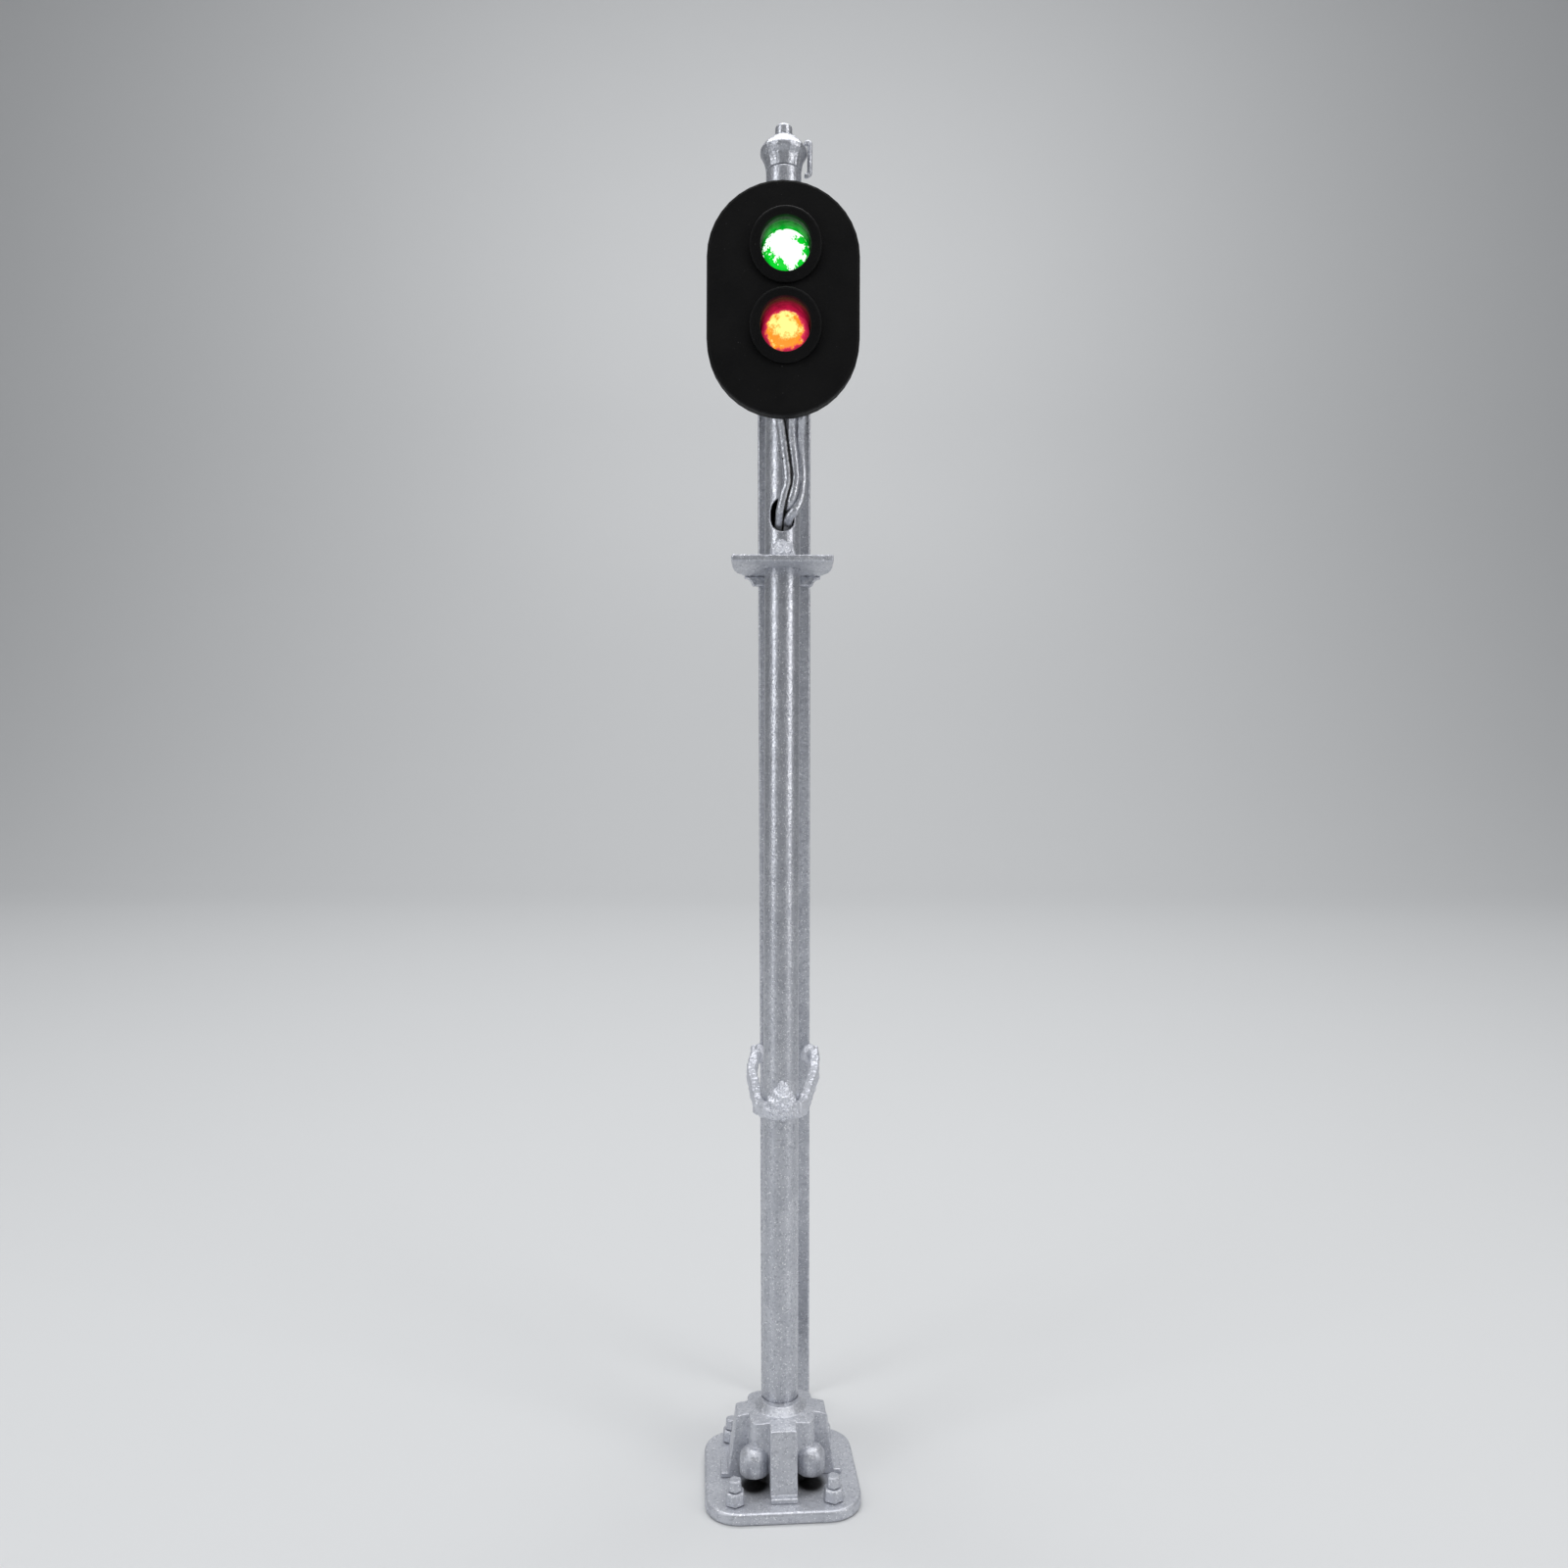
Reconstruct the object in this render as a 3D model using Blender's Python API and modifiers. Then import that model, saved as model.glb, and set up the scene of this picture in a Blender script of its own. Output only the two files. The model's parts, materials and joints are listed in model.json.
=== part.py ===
"""Model railway signal mast: a two-lamp head on a round mast with a ladder, a platform and a ribbed base.

Lengths are in metres, +Z is up and the front faces -Y. The origin is on the ground, midway between the
front of the visors and the back of the ladder's feet, and midway across the base plate. The base sits a
little off the mast's axis and is turned on it. Everything is placed in the mast's own frame, an empty on
its axis at ground level, and the base's pieces in a frame of their own under it.
"""

import math

import bmesh
import bpy
from mathutils import Matrix, Vector
from mathutils.geometry import interpolate_bezier

MM = 0.001
GAP = 0.03 * MM  # between pieces that touch
EAT = 0.5 * MM  # how far a cutter runs past what it cuts
WELD = 0.001 * MM  # points closer than this are one
FLAT_ANGLE = 0.1  # degrees; faces that meet at less are merged
SHARP_ANGLE = 35  # degrees; edges that turn more stay sharp
SMALL_EDGE = 0.06 * MM

# Base plate and its fastenings
BASE_SHIFT = (0.05 * MM, -0.42 * MM)  # of the whole base from the mast's axis
BASE_TURN = math.radians(4)  # of the whole base, anticlockwise from above
PLATE_WIDE = 8.9 * MM
PLATE_DEEP = 8.7 * MM
PLATE_CORNER = 1.95 * MM
PLATE_THICK = 0.64 * MM
PLATE_EDGE = 0.14 * MM
CABLE_HOLE_RADIUS = 0.75 * MM
ANCHOR_X = 2.78 * MM
ANCHOR_Y = 3.2 * MM
NUT_RADIUS = 0.6 * MM
NUT_TALL = 0.68 * MM
NUT_TAPER = 0.94
BOLT_RADIUS = 0.42 * MM
BOLT_TALL = 0.6 * MM
BOLT_TAPER = 0.92

# Pedestal casting
CORE_RADIUS = 1.8 * MM
COLUMN_SIDE = 3.75 * MM
COLUMN_CORNER = 0.6 * MM
HOOD_LOW = 1.45 * MM  # the underside of the hoods
HOOD_CENTRE = 1.62 * MM
HOOD_RADIUS = 0.82 * MM
HOOD_TALL = 1.45 * MM
HOOD_EDGE = 0.6 * MM
HOLLOW_RADIUS = 0.6 * MM
HOLLOW_DROP = 0.02 * MM  # of its centre below the hoods' underside
RIB_WIDE = 1.5 * MM
RIB_FOOT_REACH = 3.1 * MM
RIB_TOP_REACH = 2.6 * MM
FOOT_PAD_REACH = 3.5 * MM
FOOT_PAD_TALL = 0.22 * MM
ROOF_EDGE_HEIGHT = 4.2 * MM
ROOF_BREAK = (1.5 * MM, 4.4 * MM)  # radius and height where the roof grows steeper
ROOF_TOP_HEIGHT = 4.78 * MM
ROOF_TOP_RADIUS = 1.12 * MM
ROOF_CROWN = 0.02 * MM
ROOF_FALL = 1 / 3  # beyond the ribs, per unit outwards

# Mast tube
MAST_RADIUS = 1.05 * MM
MAST_BORE_RADIUS = 0.75 * MM
MAST_TOP = 77.3 * MM
MAST_SEGMENTS = 32
SLOT_LOW = 55.8 * MM
SLOT_HIGH = 57.75 * MM
SLOT_WIDE = 1.35 * MM

# Finial
RIM_RADIUS = 1.38 * MM
RIM_HEIGHT = 78.4 * MM
DOME_TOP = 79.25 * MM
DOME_TOP_RADIUS = 0.7 * MM
SHOULDER = ((0.97 * MM, 79.03 * MM), (1.22 * MM, 78.78 * MM))  # radius and height, above the rim
RIM_HALF_TALL = 0.1 * MM
FLARE = ((1.22 * MM, 78.02 * MM), (1.1 * MM, 77.7 * MM))  # below the rim
PIN_RADIUS = 0.49 * MM
PIN_EDGE = 0.15 * MM
OVERALL_HEIGHT = 80.0 * MM
SPIGOT_LOW = 76.3 * MM
HOOK_WIRE_RADIUS = 0.14 * MM
HOOK_LOOP_RADIUS = 0.1 * MM
HOOK_LOOP_HEIGHT = 78.97 * MM
HOOK_TIP_RADIUS = 0.22 * MM
HOOK_TIP_HEIGHT = 77.3 * MM

# Ladder, leaning towards the mast
LADDER_SLOPE = 0.12
LADDER_SLANT = 0.0045  # to the left, per unit of height
LADDER_FOOT_X = 0.36 * MM
LADDER_FOOT_Y = 9.3 * MM
LADDER_LONG = 66.6 * MM
RAIL_WIDE = 0.8 * MM
RAIL_DEEP = 0.5 * MM
RAIL_EDGE = 0.08 * MM
RAIL_CENTRE_X = 1.205 * MM
RUNG_RADIUS = 0.18 * MM
RUNG_FIRST = 1.35 * MM
RUNG_PITCH = 4.0 * MM
RUNG_COUNT = 17

# Brace that ties the ladder to the mast
BRACE_HEIGHT = 21.95 * MM
BRACE_WIDE = 0.52 * MM
BRACE_TALL = 0.8 * MM
BRACE_ELBOW = (1.98 * MM, 4.2 * MM, 22.75 * MM)
BRACE_END_HEIGHT = 23.6 * MM
BRACE_END_DROP = 0.1 * MM  # across the width of a rail
BRACE_EDGE = 0.07 * MM

# Set glue on the mast's front: (lowest, highest, half width, how far it stands out)
BRACE_BEAD = (22.38 * MM, 23.55 * MM, 0.82 * MM, 0.42 * MM)
PLATFORM_BEAD = (54.08 * MM, 55.45 * MM, 0.78 * MM, 0.45 * MM)

# Platform
PLATFORM_TOP = 54.05 * MM
PLATFORM_THICK = 0.35 * MM
PLATFORM_HALF = 2.9 * MM
PLATFORM_SIDE_END_Y = -0.4 * MM
PLATFORM_REAR_Y = 2.5 * MM
PLATFORM_REAR_HALF = 1.65 * MM
CORBEL_INNER_X = 1.1 * MM
CORBEL_OUTER_X = 2.3 * MM
CORBEL_DROP = 0.55 * MM
CORBEL_DEEP = 0.5 * MM
CORBEL_LIP = 0.08 * MM  # thickness left under the platform at the outer end
CORBEL_FOOT = 0.9  # of the flat stretch below the curve
CORBEL_EDGE = 0.04 * MM

# Signal head
HEAD_WIDE = 8.56 * MM
HEAD_TALL = 13.16 * MM
HEAD_CENTRE_Z = 68.15 * MM
HEAD_FRONT_Y = -4.3 * MM
TARGET_THICK = 1.0 * MM
TARGET_EDGE = 0.16 * MM
HEAD_SEGMENTS = 28
LAMP_X = 0.13 * MM  # of the lamps' and visors' axes from the plate's centre
LAMP_HEIGHTS = {"green": 70.9 * MM, "red": 66.43 * MM}
LAMP_HOLE_RADIUS = 1.4 * MM
LAMP_RADIUS = 1.36 * MM
LAMP_FLANGE_RADIUS = 1.65 * MM
LAMP_FLANGE_THICK = 0.35 * MM
LAMP_TIP_BEHIND_FRONT = 0.08 * MM
LAMP_DOME_TALL = 0.8 * MM
LEG_SPREAD = 0.55 * MM
LEG_RADIUS = 0.2 * MM
LEG_LONG = 0.55 * MM
VISOR_INNER_RADIUS = 1.42 * MM
VISOR_OUTER_RADIUS = 2.03 * MM
VISOR_REACH_TOP = 0.75 * MM
VISOR_REACH_FOOT = 0.1 * MM
VISOR_EDGE = 0.16 * MM
HOUSING_WIDE = 6.6 * MM
HOUSING_TALL = 11.0 * MM
HOUSING_WALL = 0.4 * MM
HOUSING_DEEP = 1.55 * MM
NOTCH_WIDE = 3.0 * MM
NOTCH_TALL = 2.2 * MM
NOTCH_DEEP = 1.0 * MM
COVER_THICK = 0.3 * MM
COVER_EDGE = 0.1 * MM
SADDLE_WIDE = 3.0 * MM
SADDLE_TALL = 5.0 * MM
SADDLE_BACK_Y = 0.1 * MM
SADDLE_EDGE = 0.1 * MM

# Leads
LEAD_RADIUS = 0.21 * MM
LEAD_END_HEIGHT = 0.05 * MM

# Worked out from the sizes above
LADDER_LEAN = math.atan(LADDER_SLOPE)
LADDER_FOOT_LIFT = RAIL_DEEP / 2 * math.sin(LADDER_LEAN)
LADDER_BACK_Y = LADDER_FOOT_Y + RAIL_DEEP / 2 * math.cos(LADDER_LEAN)
LADDER_TILT = math.atan(LADDER_SLANT)
VISOR_FRONT_Y = HEAD_FRONT_Y - GAP - VISOR_REACH_TOP
MAST_X = -BASE_SHIFT[0]  # the mast's axis, from the origin
MAST_Y = -(VISOR_FRONT_Y + LADDER_BACK_Y) / 2
SEAT_HEIGHT = PLATE_THICK + GAP
HEAD_BACK_Y = HEAD_FRONT_Y + TARGET_THICK

# Colours: linear RGB, metallic, roughness
FINISHES = {
    "silver_paint": ((0.46, 0.47, 0.52), 0.75, 0.42),
    "black_plastic": ((0.012, 0.012, 0.013), 0.0, 0.55),
    "painted_lead": ((0.44, 0.45, 0.49), 0.3, 0.5),
    "tinned_wire": ((0.6, 0.6, 0.6), 1.0, 0.3),
    "green_lamp": ((0.0, 0.6, 0.12), 0.0, 0.15),
    "red_lamp": ((0.8, 0.04, 0.05), 0.0, 0.15),
}

PARTS = bpy.data.collections.new("model_signal_mast")
CUTTERS = bpy.data.collections.new("model_signal_mast_cutters")


def clear_scene():
    for old in list(bpy.data.objects):
        bpy.data.objects.remove(old)
    for collection in (PARTS, CUTTERS):
        bpy.context.scene.collection.children.link(collection)


# ---------------------------------------------------------------- outlines


def arc(centre, radius, start, end, steps):
    """Points on a circle between two angles in degrees, both ends included."""
    angles = [math.radians(start + (end - start) * i / steps) for i in range(steps + 1)]
    return [(centre[0] + radius * math.cos(a), centre[1] + radius * math.sin(a)) for a in angles]


def rounded_rectangle(wide, tall, corner, steps):
    """A centred rectangle with round corners, anticlockwise."""
    points = []
    for turn, (side_x, side_y) in enumerate(((1, 1), (-1, 1), (-1, -1), (1, -1))):
        centre = (side_x * (wide / 2 - corner), side_y * (tall / 2 - corner))
        points += arc(centre, corner, 90 * turn, 90 * turn + 90, steps)
    return points


def stadium(wide, tall, steps):
    """A centred upright rectangle with half-round ends, anticlockwise."""
    radius = wide / 2
    straight = tall / 2 - radius
    return arc((0, straight), radius, 0, 180, 2 * steps) + arc((0, -straight), radius, 180, 360, 2 * steps)


def mirrored_in_x(points):
    """The points, then their mirror images in reverse order, as one closed outline."""
    return points + [(-x, y) for x, y in reversed(points)]


# ---------------------------------------------------------------- objects


def material_named(finish):
    found = bpy.data.materials.get(finish)
    if found:
        return found
    colour, metallic, roughness = FINISHES[finish]
    made = bpy.data.materials.new(finish)
    made.use_nodes = True
    shader = made.node_tree.nodes["Principled BSDF"]
    shader.inputs["Base Color"].default_value = (*colour, 1.0)
    shader.inputs["Metallic"].default_value = metallic
    shader.inputs["Roughness"].default_value = roughness
    return made


def place(obj, finish, location=(0, 0, 0), rotation=(0, 0, 0), parent=None):
    """Links an object as a part, with its finish, under the mast's frame or another empty."""
    PARTS.objects.link(obj)
    obj.location = location
    obj.rotation_euler = rotation
    obj.parent = parent or bpy.data.objects["mast_frame"]
    obj.data.materials.append(material_named(finish))
    return obj


def as_cutter(obj, location=(0, 0, 0), rotation=(0, 0, 0), parent=None):
    """Links an object as a helper that Booleans use and no render shows."""
    CUTTERS.objects.link(obj)
    obj.location = location
    obj.rotation_euler = rotation
    obj.parent = parent or bpy.data.objects["mast_frame"]
    obj.hide_render = True
    obj.display_type = "WIRE"
    return obj


def empty(name, location, rotation=(0, 0, 0), parent=None):
    made = bpy.data.objects.new(name, None)
    PARTS.objects.link(made)
    made.location = location
    made.rotation_euler = rotation
    made.parent = parent
    return made


def mesh_object(name, shape):
    """An object from a bmesh, shaded smooth but for its sharp edges."""
    bmesh.ops.recalc_face_normals(shape, faces=shape.faces)
    mesh = bpy.data.meshes.new(name)
    shape.to_mesh(mesh)
    shape.free()
    mesh.shade_smooth()
    mesh.set_sharp_from_angle(angle=math.radians(SHARP_ANGLE))
    return bpy.data.objects.new(name, mesh)


def block(name, size, centre=(0, 0, 0)):
    shape = bmesh.new()
    bmesh.ops.create_cube(shape, size=1)
    sized = Matrix.Translation(centre) @ Matrix.Diagonal((*size, 1))
    bmesh.ops.transform(shape, matrix=sized, verts=shape.verts)
    return mesh_object(name, shape)


def cone(name, low_radius, high_radius, tall, segments):
    """A round or many-sided bar that stands on its own origin."""
    shape = bmesh.new()
    bmesh.ops.create_cone(
        shape, cap_ends=True, segments=segments, radius1=low_radius, radius2=high_radius, depth=tall,
        matrix=Matrix.Translation((0, 0, tall / 2)),
    )
    return mesh_object(name, shape)


def ellipsoid(name, radius, tall, segments=20):
    shape = bmesh.new()
    bmesh.ops.create_uvsphere(
        shape, u_segments=segments, v_segments=segments // 2, radius=radius,
        matrix=Matrix.Diagonal((1, 1, tall / radius, 1)),
    )
    return mesh_object(name, shape)


def dome(name, radius, tall, segments=20):
    """The upper half of an ellipsoid, with a flat underside at its own origin."""
    whole = ellipsoid(name, radius, tall, segments)
    shape = bmesh.new()
    shape.from_mesh(whole.data)
    everything = shape.verts[:] + shape.edges[:] + shape.faces[:]
    down = (0, 0, -1)
    cut = bmesh.ops.bisect_plane(shape, geom=everything, plane_co=(0, 0, 0), plane_no=down, clear_outer=True)
    rim = [piece for piece in cut["geom_cut"] if isinstance(piece, bmesh.types.BMEdge)]
    bmesh.ops.contextual_create(shape, geom=rim)
    bpy.data.objects.remove(whole)
    return mesh_object(name, shape)


def mesh_of(obj):
    """The object's shape with its modifiers, welded and with flat areas merged, as a new bmesh."""
    CUTTERS.objects.link(obj)
    graph = bpy.context.evaluated_depsgraph_get()
    mesh = bpy.data.meshes.new_from_object(obj.evaluated_get(graph))
    shape = bmesh.new()
    shape.from_mesh(mesh)
    bmesh.ops.remove_doubles(shape, verts=shape.verts, dist=WELD)
    flat = math.radians(FLAT_ANGLE)
    bmesh.ops.dissolve_limit(shape, angle_limit=flat, verts=shape.verts, edges=shape.edges)
    bpy.data.meshes.remove(mesh)
    bpy.data.objects.remove(obj)
    return shape


def slab(name, outline, thick):
    """A flat outline in its own XY plane, half its thickness to each side."""
    curve = bpy.data.curves.new(name, "CURVE")
    curve.dimensions = "2D"
    curve.fill_mode = "BOTH"
    curve.extrude = thick / 2
    spline = curve.splines.new("POLY")
    spline.points.add(len(outline) - 1)
    for point, (x, y) in zip(spline.points, outline):
        point.co = (x, y, 0, 1)
    spline.use_cyclic_u = True
    return mesh_object(name, mesh_of(bpy.data.objects.new(name + "_outline", curve)))


def turned(name, profile, segments=24, closed=False):
    """Turns a profile of (radius, height) points, given top to bottom on its outer side, round the Z axis."""
    mesh = bpy.data.meshes.new(name)
    edges = [(i, i + 1) for i in range(len(profile) - 1)]
    if closed:
        edges.append((len(profile) - 1, 0))
    mesh.from_pydata([(radius, 0, height) for radius, height in profile], edges, [])
    obj = bpy.data.objects.new(name, mesh)
    screw = obj.modifiers.new("turn", "SCREW")
    screw.axis = "Z"
    screw.steps = screw.render_steps = segments
    screw.use_merge_vertices = True
    screw.merge_threshold = WELD
    return mesh_object(name, mesh_of(obj))


def wire(name, points, radius, sides=8):
    """A round wire along points, with closed ends."""
    curve = bpy.data.curves.new(name, "CURVE")
    curve.dimensions = "3D"
    curve.bevel_depth = radius
    curve.bevel_resolution = (sides - 4) // 2
    curve.use_fill_caps = True
    spline = curve.splines.new("POLY")
    spline.points.add(len(points) - 1)
    for point, place_at in zip(spline.points, points):
        point.co = (*place_at, 1)
    return bpy.data.objects.new(name, curve)


def smooth_route(points, steps):
    """A smooth curve through the points, with each stretch cut into steps."""
    points = [Vector(point) for point in points]
    ends = [points[0]] + points + [points[-1]]
    route = []
    for before, start, end, after in zip(ends, ends[1:], ends[2:], ends[3:]):
        reach = (end - start).length / 3
        leave = (end - before).normalized() * reach
        arrive = (after - start).normalized() * reach
        route += interpolate_bezier(start, start + leave, end - arrive, end, steps + 1)[:-1]
    return route + [points[-1]]


def bent_bar(name, path, wide, tall):
    """A bar of rectangular section along a path in plan; its width is level and its height is upright."""
    shape = bmesh.new()
    path = [Vector(point) for point in path]
    rings = []
    for i, point in enumerate(path):
        along = path[min(i + 1, len(path) - 1)] - path[max(i - 1, 0)]
        side = Vector((-along.y, along.x, 0)).normalized() * wide / 2
        up = Vector((0, 0, tall / 2))
        corners = (point - side - up, point + side - up, point + side + up, point - side + up)
        rings.append([shape.verts.new(corner) for corner in corners])
    for ring, following in zip(rings, rings[1:]):
        for i in range(4):
            shape.faces.new((ring[i], ring[(i + 1) % 4], following[(i + 1) % 4], following[i]))
    shape.faces.new(rings[0])
    shape.faces.new(rings[-1])
    return mesh_object(name, shape)


# ---------------------------------------------------------------- modifiers


def round_edges(obj, width, segments=2, angle=50):
    bevel = obj.modifiers.new("round_edges", "BEVEL")
    bevel.width = width
    bevel.segments = segments
    bevel.limit_method = "ANGLE"
    bevel.angle_limit = math.radians(angle)
    return obj


def combine(obj, operation, other):
    boolean = obj.modifiers.new(operation.lower(), "BOOLEAN")
    boolean.operation = operation
    boolean.object = other
    return obj


# ---------------------------------------------------------------- base


def bar_cutter(name, radius, low, high, location=(0, 0, 0), rotation=(0, 0, 0), segments=MAST_SEGMENTS):
    """A round cutter along its own Z axis, from low to high."""
    obj = cone(name, radius, radius, high - low, segments)
    obj.data.transform(Matrix.Translation((0, 0, low)))
    return as_cutter(obj, location, rotation)


def make_base_plate(base):
    outline = rounded_rectangle(PLATE_WIDE, PLATE_DEEP, PLATE_CORNER, 6)
    plate = slab("base_plate", outline, PLATE_THICK)
    place(plate, "silver_paint", (0, 0, PLATE_THICK / 2), parent=base)
    round_edges(plate, PLATE_EDGE)
    hole = bar_cutter("cable_hole", CABLE_HOLE_RADIUS, -EAT, PLATE_THICK + EAT)
    combine(plate, "DIFFERENCE", hole)


def make_anchors(base):
    """A nut and a narrower bolt end at each corner of the base plate."""
    corners = [(side_x, side_y) for side_y in (-1, 1) for side_x in (-1, 1)]
    for number, (side_x, side_y) in enumerate(corners, 1):
        x, y = side_x * ANCHOR_X, side_y * ANCHOR_Y
        nut = cone(f"anchor_nut_{number}", NUT_RADIUS, NUT_RADIUS * NUT_TAPER, NUT_TALL, 6)
        place(nut, "silver_paint", (x, y, SEAT_HEIGHT), parent=base)
        round_edges(nut, SMALL_EDGE, 1)
        bolt = cone(f"anchor_bolt_{number}", BOLT_RADIUS, BOLT_RADIUS * BOLT_TAPER, BOLT_TALL, 6)
        place(bolt, "silver_paint", (x, y, SEAT_HEIGHT + NUT_TALL + GAP), parent=base)
        round_edges(bolt, SMALL_EDGE, 1)


def rib_pair(name, turn, base):
    """Two opposite ribs in one upright slab, turned about the base's own axis."""
    top = ROOF_TOP_HEIGHT + EAT
    outline = mirrored_in_x([
        (FOOT_PAD_REACH, SEAT_HEIGHT),
        (FOOT_PAD_REACH, SEAT_HEIGHT + FOOT_PAD_TALL),
        (RIB_FOOT_REACH, SEAT_HEIGHT + FOOT_PAD_TALL),
        (RIB_TOP_REACH, ROOF_EDGE_HEIGHT),
        (RIB_TOP_REACH, top),
    ])
    return as_cutter(slab(name, outline, RIB_WIDE), (0, 0, 0), (math.pi / 2, 0, turn), base)


def make_hood(name):
    """A round post with a full round top, which stands on its own origin."""
    edge = arc((HOOD_RADIUS - HOOD_EDGE, HOOD_TALL - HOOD_EDGE), HOOD_EDGE, 90, 0, 5)
    return turned(name, [(0, HOOD_TALL), *edge, (HOOD_RADIUS, 0), (0, 0)], 20)


def make_pedestal(base):
    """One casting: a core, four ribs, a square column, and a hood over a hollow at each diagonal."""
    core_tall = ROOF_TOP_HEIGHT - SEAT_HEIGHT + EAT
    pedestal = cone("pedestal", CORE_RADIUS, CORE_RADIUS, core_tall, MAST_SEGMENTS)
    place(pedestal, "silver_paint", (0, 0, SEAT_HEIGHT), parent=base)
    for turn in (0, math.pi / 2):
        combine(pedestal, "UNION", rib_pair(f"rib_pair_{round(math.degrees(turn))}", turn, base))
    column_tall = ROOF_TOP_HEIGHT + EAT - HOOD_LOW
    outline = rounded_rectangle(COLUMN_SIDE, COLUMN_SIDE, COLUMN_CORNER, 4)
    column_middle = (0, 0, HOOD_LOW + column_tall / 2)
    column = as_cutter(slab("column", outline, column_tall), column_middle, parent=base)
    combine(pedestal, "UNION", column)
    for side_x in (-1, 1):
        for side_y in (-1, 1):
            name = f"hood_{side_x}_{side_y}"
            x, y = side_x * HOOD_CENTRE, side_y * HOOD_CENTRE
            hood = as_cutter(make_hood(name), (x, y, HOOD_LOW), parent=base)
            combine(pedestal, "UNION", hood)
            hollow = ellipsoid(name + "_hollow", HOLLOW_RADIUS, HOLLOW_RADIUS, 12)
            hollow = as_cutter(hollow, (x, y, HOOD_LOW - HOLLOW_DROP), parent=base)
            combine(pedestal, "DIFFERENCE", hollow)
    roof_profile = [
        (0, ROOF_TOP_HEIGHT + ROOF_CROWN),
        (ROOF_TOP_RADIUS, ROOF_TOP_HEIGHT),
        ROOF_BREAK,
        (RIB_TOP_REACH, ROOF_EDGE_HEIGHT),
        (2 * RIB_TOP_REACH, ROOF_EDGE_HEIGHT - RIB_TOP_REACH * ROOF_FALL),
        (2 * RIB_TOP_REACH, -EAT),
        (0, -EAT),
    ]
    roof = as_cutter(turned("pedestal_roof", roof_profile, MAST_SEGMENTS), parent=base)
    combine(pedestal, "INTERSECT", roof)
    bore = bar_cutter("pedestal_bore", MAST_RADIUS + GAP, -EAT, ROOF_TOP_HEIGHT + 2 * EAT)
    combine(pedestal, "DIFFERENCE", bore)


# ---------------------------------------------------------------- mast


def make_mast_tube():
    profile = [
        (MAST_RADIUS, MAST_TOP),
        (MAST_RADIUS, SEAT_HEIGHT),
        (MAST_BORE_RADIUS, SEAT_HEIGHT),
        (MAST_BORE_RADIUS, MAST_TOP),
    ]
    tube = place(turned("mast_tube", profile, MAST_SEGMENTS, closed=True), "silver_paint")
    slot = slab("lead_slot", stadium(SLOT_WIDE, SLOT_HIGH - SLOT_LOW, 6), 2 * MAST_RADIUS)
    as_cutter(slot, (0, -MAST_RADIUS, (SLOT_LOW + SLOT_HIGH) / 2), (math.pi / 2, 0, 0))
    combine(tube, "DIFFERENCE", slot)


def make_finial():
    neck = MAST_TOP + GAP
    profile = [
        (0, DOME_TOP),
        (DOME_TOP_RADIUS, DOME_TOP),
        *SHOULDER,
        (RIM_RADIUS, RIM_HEIGHT + RIM_HALF_TALL),
        (RIM_RADIUS, RIM_HEIGHT - RIM_HALF_TALL),
        *FLARE,
        (MAST_RADIUS, neck),
        (MAST_BORE_RADIUS - GAP, neck),
        (MAST_BORE_RADIUS - GAP, SPIGOT_LOW),
        (0, SPIGOT_LOW),
    ]
    place(turned("finial_cap", profile), "silver_paint")
    pin_low = DOME_TOP + GAP
    edge = arc((PIN_RADIUS - PIN_EDGE, OVERALL_HEIGHT - PIN_EDGE), PIN_EDGE, 90, 0, 4)
    pin_profile = [(0, OVERALL_HEIGHT), *edge, (PIN_RADIUS, pin_low), (0, pin_low)]
    place(turned("finial_pin", pin_profile, 20), "silver_paint")


def make_finial_hook():
    """A wire hook beside the rim: a small loop on top, a bar down and a tip that curls in."""
    bar_x = RIM_RADIUS + GAP + HOOK_WIRE_RADIUS
    loop_centre = (bar_x - HOOK_LOOP_RADIUS, HOOK_LOOP_HEIGHT)
    loop = arc(loop_centre, HOOK_LOOP_RADIUS, 200, 0, 8)
    tip = arc((bar_x - HOOK_TIP_RADIUS, HOOK_TIP_HEIGHT), HOOK_TIP_RADIUS, 0, -110, 5)
    points = [(x, 0, z) for x, z in loop + tip]
    place(wire("finial_hook", points, HOOK_WIRE_RADIUS), "silver_paint")


# ---------------------------------------------------------------- ladder, brace and platform


def make_ladder():
    foot = (LADDER_FOOT_X, LADDER_FOOT_Y, LADDER_FOOT_LIFT)
    turn = (LADDER_LEAN, -LADDER_TILT, 0)
    frame = empty("ladder_frame", foot, turn, bpy.data.objects["mast_frame"])
    for side, name in ((-1, "ladder_rail_left"), (1, "ladder_rail_right")):
        rail = block(name, (RAIL_WIDE, RAIL_DEEP, LADDER_LONG))
        place(rail, "silver_paint", (side * RAIL_CENTRE_X, 0, LADDER_LONG / 2), parent=frame)
        round_edges(rail, RAIL_EDGE)
    rung_long = 2 * RAIL_CENTRE_X - RAIL_WIDE - 2 * GAP
    rung_mesh = cone("ladder_rung", RUNG_RADIUS, RUNG_RADIUS, rung_long, 10).data
    for number in range(RUNG_COUNT):
        rung = bpy.data.objects.new(f"ladder_rung_{number + 1:02d}", rung_mesh.copy())
        height = RUNG_FIRST + number * RUNG_PITCH
        place(rung, "silver_paint", (-rung_long / 2, 0, height), (0, math.pi / 2, 0), frame)


def ladder_middle(height):
    """Where the middle of the ladder is at a height, in plan, from the mast's axis."""
    return LADDER_FOOT_X - LADDER_SLANT * height, LADDER_FOOT_Y - LADDER_SLOPE * height


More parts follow.
